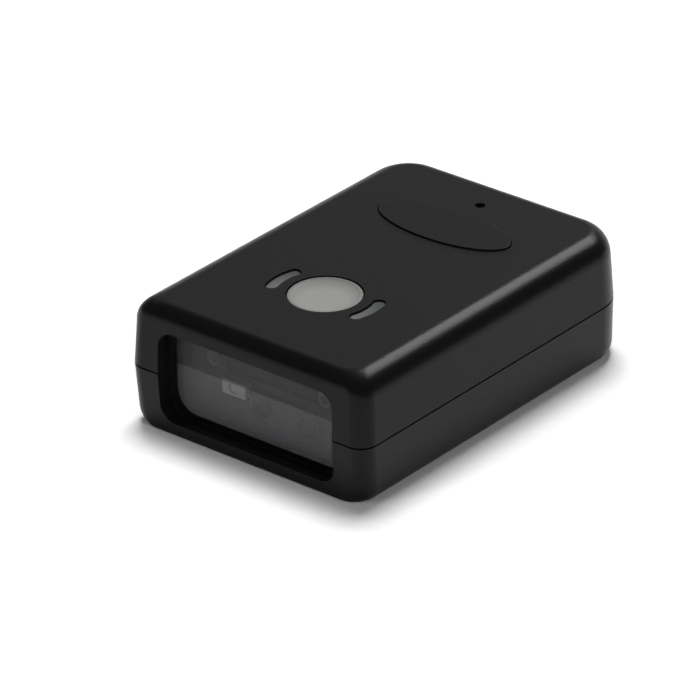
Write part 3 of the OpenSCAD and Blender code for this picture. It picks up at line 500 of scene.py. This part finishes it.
def sector(inner, outer, low, high, halfAngle, left, steps):  # a curved bar beside the key
    bm = bmesh.new()
    corners = [bm.verts.new(Vector((r, 0, z)) * mm) for r, z in
               ((inner, low), (outer, low), (outer, high), (inner, high))]
    start = bm.faces.new(corners)
    turn = Matrix.Rotation(math.radians(-halfAngle), 4, "Z")
    bmesh.ops.rotate(bm, cent=(0, 0, 0), matrix=turn, verts=bm.verts)
    bmesh.ops.spin(bm, geom=[start, *start.edges, *start.verts], cent=(0, 0, 0), axis=(0, 0, 1),
                   angle=math.radians(2 * halfAngle), steps=steps)
    if left:
        bmesh.ops.scale(bm, vec=(-1, 1, 1), verts=bm.verts)
    bmesh.ops.translate(bm, vec=Vector((0, pushKey["y"], 0)) * mm, verts=bm.verts)
    bmesh.ops.remove_doubles(bm, verts=bm.verts, dist=same * mm)
    bmesh.ops.recalc_face_normals(bm, faces=bm.faces)
    return bm


def roundedBar(inner, outer, low, high, halfAngle, left, endRadius):  # a curved bar with round ends
    bm = sector(inner, outer, low, high, halfAngle, left, slots["barSteps"])
    ends = [e for e in bm.edges if abs(e.verts[0].co.z - e.verts[1].co.z) > near * mm
            and meetsAt(e, cornerAngle)]
    roundOff(bm, ends, endRadius, slots["endSteps"])
    bmesh.ops.recalc_face_normals(bm, faces=bm.faces)
    return bm


badge = {"y": backY - 19.25, "length": 26.8, "width": 11.1, "thick": 0.7, "gap": 0.18, "rise": 0.25,
         "edge": 0.1, "edgeSteps": 4, "steps": 96}


def ovalPlate(grow, low, high):
    bm = bmesh.new()
    size = Vector((badge["length"] + 2 * grow, badge["width"] + 2 * grow, high - low))
    bmesh.ops.create_cone(bm, cap_ends=True, segments=badge["steps"], radius1=0.5, radius2=0.5, depth=1)
    bmesh.ops.scale(bm, vec=size * mm, verts=bm.verts)
    bmesh.ops.translate(bm, vec=Vector((0, badge["y"], (low + high) / 2)) * mm, verts=bm.verts)
    return bm


softEdges = {"window": 0.35, "pocket": 0.10, "hole": 0.16, "base": 0.15, "hidden": 0.03}


def onWindowRim(p):
    return (p.y < frontY + shell["frontWall"] / 2 and abs(p.x) < windowHalf + near
            and opening["sill"] - near < p.z < windowTop + near)


def topRimWidth(a, b):  # wider soft edges on the openings that are looked at
    if min(a.z, b.z) > shell["height"] - near:
        atBadge = abs(a.y - badge["y"]) < badge["width"] / 2 + badge["gap"] + near
        return softEdges["pocket"] if atBadge else softEdges["hole"]
    return softEdges["window"] if onWindowRim(a) and onWindowRim(b) else softEdges["hidden"]


def bottomRimWidth(a, b):
    if onWindowRim(a) and onWindowRim(b):
        return softEdges["window"]
    return softEdges["base"] if max(a.z, b.z) < near else softEdges["hidden"]


beeper = {"y": backY - 9.6, "hole": 1.8, "buzzer": 9, "height": 3.2, "horn": 0.8, "gap": 0.3}
posts = {"x": shell["width"] / 2 - 6.2, "ys": (frontY + 11.6, backY - 6.6), "diameter": 6, "screw": 2.2,
         "head": 4, "seat": 6, "gap": 0.15, "tip": 1.85, "web": 1.2}
inserts = {"x": 15.5, "ys": (frontY + 26, frontY + 52), "diameter": 4.2, "length": 5, "wall": 1.2}
bosses = {"x": 13.4, "ys": (frontY + 17.25,), "top": 4.6, "diameter": 4.4, "bore": 1.6, "deep": 2.4}
paneRib = {"half": windowHalf - 3.35, "thick": 0.8}
holeSteps = {"key": 96, "narrow": 32, "boss": 24}


def soundHorn():  # the collar under the roof that leads the buzzer's sound to its hole
    inner = beeper["buzzer"] + 2 * beeper["gap"]
    horn = rodTool(0, beeper["y"], boardTop + beeper["height"] - beeper["horn"], roofUnder + root,
                   inner + 2 * beeper["horn"])
    cut(horn, rodTool(0, beeper["y"], boardTop, roofUnder, inner))
    return horn


def addLugRibs(cover):  # two ribs that keep the key from turning
    middle = pushKey["lugWidth"] / 2 + pushKey["gap"] + pushKey["ribThick"] / 2
    front = pushKey["y"] + pushKey["diameter"] / 2 + pushKey["flangeLap"] + pushKey["gap"]
    for x in (-middle, middle):
        add(cover, blockTool((x - pushKey["ribThick"] / 2, x + pushKey["ribThick"] / 2),
                             (front, front + pushKey["lugLength"]),
                             (roofUnder - pushKey["ribHeight"], roofUnder + root)))


def cutTopHoles(cover):
    low, high = roofUnder - past, shell["height"] + past
    keyHole = pushKey["diameter"] + 2 * pushKey["gap"]
    cut(cover, rodTool(0, pushKey["y"], low, high, keyHole, holeSteps["key"]))
    for left in (False, True):
        slot = roundedBar(slots["inner"], slots["outer"], low, high, slots["angle"] / 2, left, slots["end"])
        cut(cover, toObject("tool", slot))
    pocketFloor = shell["height"] - badge["thick"] + badge["rise"]
    cut(cover, toObject("tool", ovalPlate(badge["gap"], pocketFloor, high)))
    cut(cover, rodTool(0, beeper["y"], low, high, beeper["hole"], holeSteps["narrow"]))


def makeTopCover():
    parting, groove, deep = shell["parting"], shell["groove"], shell["grooveDepth"]
    levels = [shell["height"] - d for d in reversed(climb(crownEdge))]
    ceiling = [roofUnder - d for d in reversed(climb(inside(crownEdge)))]
    cover = loft([outerRing(parting, deep), outerRing(parting + groove, deep), outerRing(parting + groove)]
                 + [outerRing(z) for z in levels])
    cut(cover, loft([innerRing(parting - past)] + [innerRing(z) for z in ceiling]))
    rabbet = shell["wall"] - shell["tongue"] - shell["tongueGap"]
    rabbetTop = parting + shell["tongueHeight"] + shell["tongueGap"]
    cut(cover, loft([tongueRing(parting - past, rabbet), tongueRing(rabbetTop, rabbet)]))
    for x, y in spots(posts):
        add(cover, rodTool(x, y, boardTop, roofUnder + root, posts["diameter"]))
    add(cover, soundHorn())
    addLugRibs(cover)
    add(cover, blockTool((-paneRib["half"], paneRib["half"]), (paneHigh.y, paneHigh.y + paneRib["thick"]),
                         (windowTop + root, roofUnder + root)))
    cut(cover, windowTool())
    cut(cover, jackTool())
    cutTopHoles(cover)
    for x, y in spots(posts):
        cut(cover, rodTool(x, y, boardTop - past, roofUnder - posts["tip"], posts["screw"] + fit,
                           holeSteps["narrow"]))
    softenRims(cover, topRimWidth)
    cover.name = "topShell"
    smoothShade(cover)
    finishPiece(cover, "grainBlack", stands=["top_cover"])


def makeTongue():  # the lip of the bottom cover, which stands in the top cover's rabbet
    wall = shell["wall"]
    ends = (shell["parting"] - 2 * shell["groove"], shell["parting"] + shell["tongueHeight"])
    tongue = loft([tongueRing(z, wall - shell["tongue"]) for z in ends])
    cut(tongue, loft([tongueRing(z, wall) for z in (ends[0] - past, ends[1] + past)]))
    return tongue


def addFloorForms(cover):
    low = shell["floor"] - root
    for x, y in spots(posts):
        add(cover, rodTool(x, y, low, boardUnder, posts["diameter"]))
    webLow = shell["floor"] + inside(baseEdge)
    webFront = posts["ys"][0] - posts["web"] / 2
    for side in (-1, 1):  # webs that tie the front posts to the side walls
        add(cover, blockTool(sorted((side * posts["x"], side * (shell["width"] / 2 - shell["wall"]))),
                             (webFront, webFront + posts["web"]), (webLow, shell["parting"] - root)))
    for x, y in spots(inserts):
        add(cover, rodTool(x, y, low, inserts["length"] + inserts["wall"],
                           inserts["diameter"] + 2 * inserts["wall"]))
    for x, y in spots(bosses):
        add(cover, rodTool(x, y, low, bosses["top"], bosses["diameter"]))
    behind = (paneHigh.y, paneHigh.y + paneRib["thick"])
    for ys, high in (((paneLow.y, paneHigh.y), paneLow.z), (behind, opening["sill"] - root)):
        add(cover, blockTool((-paneRib["half"], paneRib["half"]), ys, (low, high)))


def cutFloorHoles(cover):
    screwHole = posts["screw"] + 2 * posts["gap"]
    for x, y in spots(posts):
        cut(cover, rodTool(x, y, -past, posts["seat"], posts["head"] + 4 * posts["gap"]))
        cut(cover, rodTool(x, y, 0, boardUnder + past, screwHole, holeSteps["narrow"]))
    for x, y in spots(inserts):
        cut(cover, rodTool(x, y, -past, inserts["length"], inserts["diameter"] + fit))
    for x, y in spots(bosses):
        cut(cover, rodTool(x, y, bosses["top"] - bosses["deep"], bosses["top"] + past,
                           bosses["bore"] + fit, holeSteps["boss"]))


def makeBottomCover():
    parting, groove, deep = shell["parting"], shell["groove"], shell["grooveDepth"]
    cover = loft([outerRing(z) for z in climb(baseEdge)]
                 + [outerRing(parting - groove), outerRing(parting - groove, deep), outerRing(parting, deep)])
    levels = [shell["floor"] + d for d in climb(inside(baseEdge))]
    mouth = (parting + past, shell["wall"], shell["frontWall"], shell["wall"], inside(shell["frontCorner"]))
    cut(cover, loft([innerRing(z) for z in levels] + [mouth]))
    add(cover, makeTongue())
    addFloorForms(cover)
    cut(cover, windowTool())
    cut(cover, jackTool())
    cutFloorHoles(cover)
    softenRims(cover, bottomRimWidth)
    cover.name = "bottomShell"
    smoothShade(cover)
    finishPiece(cover, "grainBlack", stands=["bottom_cover"])


makeTopCover()
makeBottomCover()
print("shells ready")


def quarter(steps):  # even angles of a quarter turn, without its ends
    return [math.pi / 2 * i / steps for i in range(1, steps)]


def makeKey():
    top = shell["height"] - pushKey["sink"]
    radius, stem, edge = pushKey["diameter"] / 2, pushKey["stem"] / 2, pushKey["edge"]
    bowl = radius - pushKey["rim"]
    flange = radius + pushKey["flangeLap"]
    flangeTop = roofUnder - pushKey["play"]
    flangeLow = flangeTop - pushKey["flange"]
    stemEnd = flangeLow - pushKey["stemLength"]
    outline = [(0, stemEnd), (stem, stemEnd), (stem, flangeLow), (flange, flangeLow), (flange, flangeTop),
               (radius, flangeTop), (radius, top - edge)]
    outline += [(radius - edge + edge * math.cos(a), top - edge + edge * math.sin(a))
                for a in quarter(pushKey["edgeSteps"])]
    outline += [(radius - edge, top), (bowl, top)]
    outline += [(bowl * math.cos(a), top - pushKey["dish"] * math.sin(a))
                for a in quarter(pushKey["dishSteps"])]
    outline.append((0, top - pushKey["dish"]))
    bm = bmesh.new()
    verts = [bm.verts.new(Vector((r, 0, z)) * mm) for r, z in outline]
    edges = [bm.edges.new(pair) for pair in zip(verts, verts[1:])]
    bmesh.ops.spin(bm, geom=verts + edges, cent=(0, 0, 0), axis=(0, 0, 1), angle=2 * math.pi,
                   steps=pushKey["turnSteps"], use_merge=True)
    bmesh.ops.remove_doubles(bm, verts=bm.verts, dist=same * mm)
    bmesh.ops.translate(bm, vec=Vector((0, pushKey["y"], 0)) * mm, verts=bm.verts)
    bmesh.ops.recalc_face_normals(bm, faces=bm.faces)
    key = toObject("pushKeyCap", bm)
    half = pushKey["lugWidth"] / 2
    add(key, blockTool((-half, half), (pushKey["y"] + stem, pushKey["y"] + flange + pushKey["lugLength"]),
                       (flangeLow, flangeTop)))
    smoothShade(key, angle=28)
    finishPiece(key, "greyKey", body="key", stands=["push_key"])


def rim(bm, high):  # the edges round the top face
    return [e for e in bm.edges if min(v.co.z for v in e.verts) > (high - near) * mm
            and meetsAt(e, cornerAngle)]


def makeGuides():
    half, gap = slots["angle"] / 2, slots["gap"]
    high = shell["height"] - slots["sink"]
    flangeIn = pushKey["diameter"] / 2 + pushKey["flangeLap"] + slots["flangeAir"]
    barHalf, flangeHalf = (half + math.degrees(math.asin(shift / slots["inner"]))
                           for shift in (-gap, slots["endLap"]))
    for side, left in (("right", False), ("left", True)):
        node = "light_guide_" + side
        bm = roundedBar(slots["inner"] + gap, slots["outer"] - gap, nodeBox(node)[0].z, high, barHalf, left,
                        slots["end"] - gap)
        roundOff(bm, rim(bm, high), slots["crown"], slots["crownSteps"])
        guide = toObject("guide" + side.capitalize(), bm)
        flange = sector(flangeIn, slots["outer"] + slots["flangeLap"], roofUnder - slots["flange"], roofUnder,
                        flangeHalf, left, slots["flangeSteps"])
        add(guide, toObject("tool", flange))
        smoothShade(guide, angle=40)
        finishPiece(guide, "frostedGuide", stands=[node])


def makeBadge():
    high = shell["height"] + badge["rise"]
    bm = ovalPlate(0, high - badge["thick"], high)
    roundOff(bm, rim(bm, high), badge["edge"], badge["edgeSteps"])
    plate = toObject("badgePlate", bm)
    smoothShade(plate)
    finishPiece(plate, "satinBlack", stands=["oval_badge"])


# painted light: below the height given after the border, the pane's front is painted lighter than above it
pane = {"corner": 3.3, "cornerSteps": 8, "border": 0.9, "paintedLightTop": 11.3, "edge": 0.12, "edgeSteps": 2,
        "finishes": ("clearWindow", "panePaintedLighter", "innerFace", "printedBorder")}
straight, slanted = 0.99, 0.5  # how much of a face's normal points along y


def makeWindow():
    bm = block(*zip(paneLow, paneHigh))
    roundOff(bm, lengthwise(bm), pane["corner"], pane["cornerSteps"])
    window = toObject("windowPane", bm)
    softenRims(window, lambda a, b: pane["edge"], segments=pane["edgeSteps"])
    clear, paintedLighter, inner, border = range(len(pane["finishes"]))
    finishPiece(window, pane["finishes"][clear], stands=["scan_window"])
    for finish in pane["finishes"][paintedLighter:]:
        window.data.materials.append(materials[finish])
    # painted light: below this height the pane's front takes the lighter finish
    paintedLightTop = pane["paintedLightTop"] * mm
    bm = bmesh.new()
    bm.from_mesh(window.data)
    bmesh.ops.bisect_plane(bm, geom=[*bm.verts, *bm.edges, *bm.faces], plane_co=(0, 0, paintedLightTop),
                           plane_no=(0, 0, 1))
    bm.normal_update()
    rear = [f for f in bm.faces if f.normal.y > straight]
    for face in bm.faces:
        if face.normal.y < -straight and face.calc_center_median().z < paintedLightTop:
            face.material_index = paintedLighter
        elif face.normal.y > -slanted:  # the pane's edges and back
            face.material_index = inner
    framed = bmesh.ops.inset_region(bm, faces=rear, thickness=pane["border"] * mm, use_even_offset=True)
    for face in framed["faces"]:
        face.material_index = border
    bm.to_mesh(window.data)
    bm.free()
    smoothShade(window)


makeKey()
makeGuides()
makeBadge()
makeWindow()
print("front and top pieces ready")

dressed = {  # node: finish, slot, width of its soft edges
    "housing_screws": ("brightSteel", "bright_steel", 0.12),
    "mounting_inserts": ("brass", "brass", 0.08),
    "key_switch": ("brightSteel", "bright_steel", 0.08),
    "switch_plunger": ("blackResin", "black_resin", 0.08),
    "status_lamp_left": ("lampPackage", "lamp_package", 0.05),
    "status_lamp_right": ("lampPackage", "lamp_package", 0.05),
    "buzzer": ("blackResin", "black_resin", 0.15),
    "decoder_chip": ("blackResin", "black_resin", 0.05),
    "memory_chip": ("blackResin", "black_resin", 0.05),
    "clock_crystal": ("brightSteel", "bright_steel", 0.12),
    "board_capacitors": ("brownCeramic", "capacitor", 0.06),
    "board_socket": ("ivoryPlastic", "ivory_plastic", 0.08),
    "engine_plug": ("ivoryPlastic", "ivory_plastic", 0.08),
    "image_sensor": ("coatedGlass", "optical_glass", 0.04),
    "engine_chassis": ("darkPlastic", "black_resin", 0.15),
    "lens_barrel": ("blackResin", "black_resin", 0.08),
    "camera_lens": ("coatedGlass", "optical_glass", 0),
    "flood_lamp": ("lampPackage", "lamp_package", 0.08),
    "aiming_lamp": ("redLens", "red_lens", 0),
    "engine_bracket": ("darkPlastic", "bracket_plastic", 0.12),
    "engine_screws": ("paleBrass", "brass", 0.06),
    "bracket_screws": ("brightSteel", "bright_steel", 0.08),
    "jack_housing": ("blackResin", "black_resin", 0.10),
    "jack_contacts": ("brass", "brass", 0),
}
dressing = {"merge": 0.002, "flat": 1, "crease": 35, "steps": 2}  # flat and crease are in degrees
plain = {"window_gasket": "blackFoam", "main_board": "greenBoard", "lamp_board": "greyBoard",
         "imager_board": "greenBoard", "flat_cable": "amberFilm", "beeper_mesh": "darkMesh"}


def dressNode(node, finish, slotName, soft):  # a merged copy of a CAD node with soft edges
    bm = bmesh.new()
    bm.from_mesh(nodes[node].data)
    bmesh.ops.remove_doubles(bm, verts=bm.verts, dist=dressing["merge"] * mm)
    bmesh.ops.dissolve_limit(bm, angle_limit=math.radians(dressing["flat"]), verts=bm.verts, edges=bm.edges)
    first, *rest = node.split("_")
    piece = toObject(first + "".join(word.capitalize() for word in rest) + "Dressed", bm)
    if soft:
        softenRims(piece, lambda a, b: soft, segments=dressing["steps"], angle=dressing["crease"])
    smoothShade(piece, angle=dressing["crease"])
    finishPiece(piece, finish, nodes[node]["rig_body"], [node])


for node, look in dressed.items():
    dressNode(node, *look)
for node, finish in plain.items():  # these stay as the CAD made them
    for place in nodes[node].material_slots:
        place.material = materials[finish]
print("inner pieces ready")
